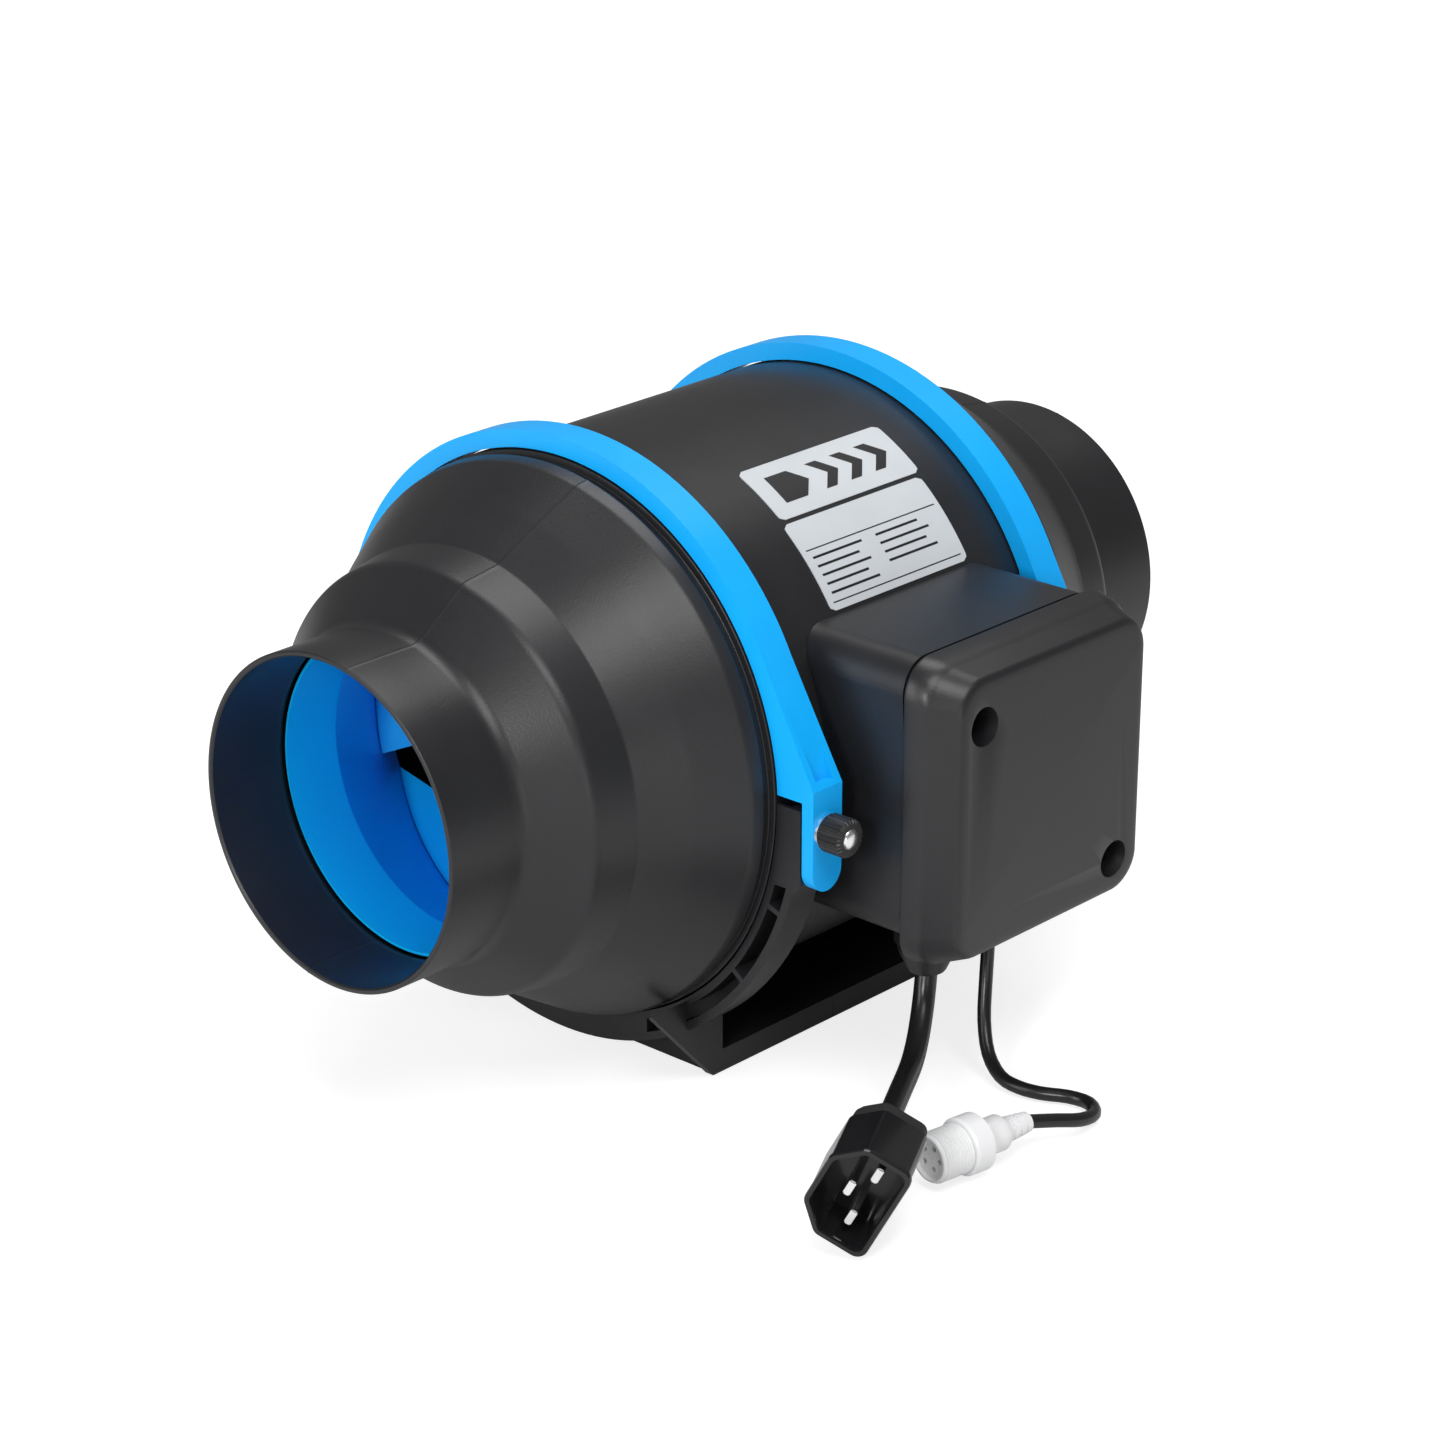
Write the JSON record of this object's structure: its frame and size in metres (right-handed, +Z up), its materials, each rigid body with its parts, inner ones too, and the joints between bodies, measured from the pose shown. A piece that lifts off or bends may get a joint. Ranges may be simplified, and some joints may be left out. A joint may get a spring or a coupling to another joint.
{
  "type": "inline duct fan",
  "caption": "Mixed-flow inline duct fan with round spigots, a side junction box and a clamp bracket with hinged straps.",
  "frame": {"origin": "centre of the four base screw holes, on the face that the bracket rests on, midway between the mouths", "axes": "+X along the fan axis in the direction of the air, +Z up from the bracket base, junction box on the -Y side"},
  "size_m": [0.3026, 0.2655, 0.1834],
  "materials": {
    "casing_black": "fine satin grain",
    "strap_blue": "satin moulded",
    "impeller_blue": "gloss moulded",
    "vane_blue": "satin moulded",
    "rubber_black": "matt",
    "gland_black": "satin moulded",
    "lead_black": "smooth sheath",
    "plug_black": "gloss moulded",
    "connector_white": "satin moulded",
    "nickel": "bright plated",
    "steel": "machined",
    "screw_dark": "blackened",
    "motor_aluminium": "as cast",
    "core_steel": "laminated",
    "copper_wire": "enamelled winding",
    "magnet": "sintered",
    "board_green": "solder mask",
    "terminal_grey": "moulded",
    "label_silver": "silver film"
  },
  "bodies": {
    "root": {"bracket_front": "casing_black", "bracket_rear": "casing_black", "inlet_cone": "casing_black", "outlet_cone": "casing_black", "mid_casing": "casing_black", "junction_box": "casing_black", "box_cover": "casing_black", "guide_vanes": "vane_blue", "tail_cone": "vane_blue", "inlet_seal": "rubber_black", "outlet_seal": "rubber_black", "lead_grommet": "rubber_black", "cover_gasket": "rubber_black", "control_grommet": "rubber_black", "mains_gland": "gland_black", "mains_strain_relief": "gland_black", "mains_lead": "lead_black", "control_lead": "lead_black", "motor_lead": "lead_black", "plug_shell": "plug_black", "plug_rear_cap": "plug_black", "capacitors": "plug_black", "connector_sleeve": "connector_white", "connector_flange": "connector_white", "connector_barrel": "connector_white", "plug_pins": "nickel", "front_bearing": "steel", "rear_bearing": "steel", "motor_screws": "steel", "hinge_pins": "steel", "shaft_clip": "steel", "box_screws": "steel", "terminal_screws": "steel", "cover_screws": "screw_dark", "bracket_screws": "screw_dark", "motor_flange": "motor_aluminium", "stator_core": "core_steel", "stator_windings": "copper_wire", "control_board": "board_green", "terminal_block": "terminal_grey", "flow_label": "label_silver", "rating_plate": "label_silver"},
    "impeller_rotor": {"impeller": "impeller_blue", "impeller_shroud": "impeller_blue", "impeller_screws": "steel", "rotor_cup": "motor_aluminium", "rotor_magnets": "magnet", "shaft": "steel"},
    "front_clamp": {"strap_front": "strap_blue", "clamp_bolt_front": "nickel"},
    "rear_clamp": {"strap_rear": "strap_blue", "clamp_bolt_rear": "nickel"},
    "front_washer": {"washer_front": "nickel"},
    "rear_washer": {"washer_rear": "nickel"},
    "front_nut": {"thumb_nut_front": "gland_black", "nut_insert_front": "nickel"},
    "rear_nut": {"thumb_nut_rear": "gland_black", "nut_insert_rear": "nickel"}
  },
  "joints": [
    {"name": "impeller_spin", "type": "hinge", "parent": "root", "child": "impeller_rotor", "pos_m": [0, 0, 0.095], "axis": [1, 0, 0], "continuous": true},
    {"name": "front_clamp_hinge", "type": "hinge", "parent": "root", "child": "front_clamp", "pos_m": [-0.0569, 0.094, 0.094], "axis": [-1, 0, 0], "range_deg": [0, 75]},
    {"name": "front_nut_travel", "type": "slide", "parent": "front_clamp", "child": "front_washer", "axis": [0, -1, 0], "range_m": [0, 0.0014]},
    {"name": "front_nut_turn", "type": "hinge", "parent": "front_washer", "child": "front_nut", "pos_m": [-0.0569, -0.1, 0.091], "axis": [0, -1, 0], "range_deg": [0, 720]},
    {"name": "rear_clamp_hinge", "type": "hinge", "parent": "root", "child": "rear_clamp", "pos_m": [0.0569, 0.094, 0.094], "axis": [-1, 0, 0], "range_deg": [0, 75]},
    {"name": "rear_nut_travel", "type": "slide", "parent": "rear_clamp", "child": "rear_washer", "axis": [0, -1, 0], "range_m": [0, 0.0014]},
    {"name": "rear_nut_turn", "type": "hinge", "parent": "rear_washer", "child": "rear_nut", "pos_m": [0.0569, -0.1, 0.091], "axis": [0, -1, 0], "range_deg": [0, 720]}
  ],
  "couplings": [
    {"joint": "front_nut_turn", "follows": "front_nut_travel", "rad_per_m": 8976},
    {"joint": "rear_nut_turn", "follows": "rear_nut_travel", "rad_per_m": 8976}
  ]
}
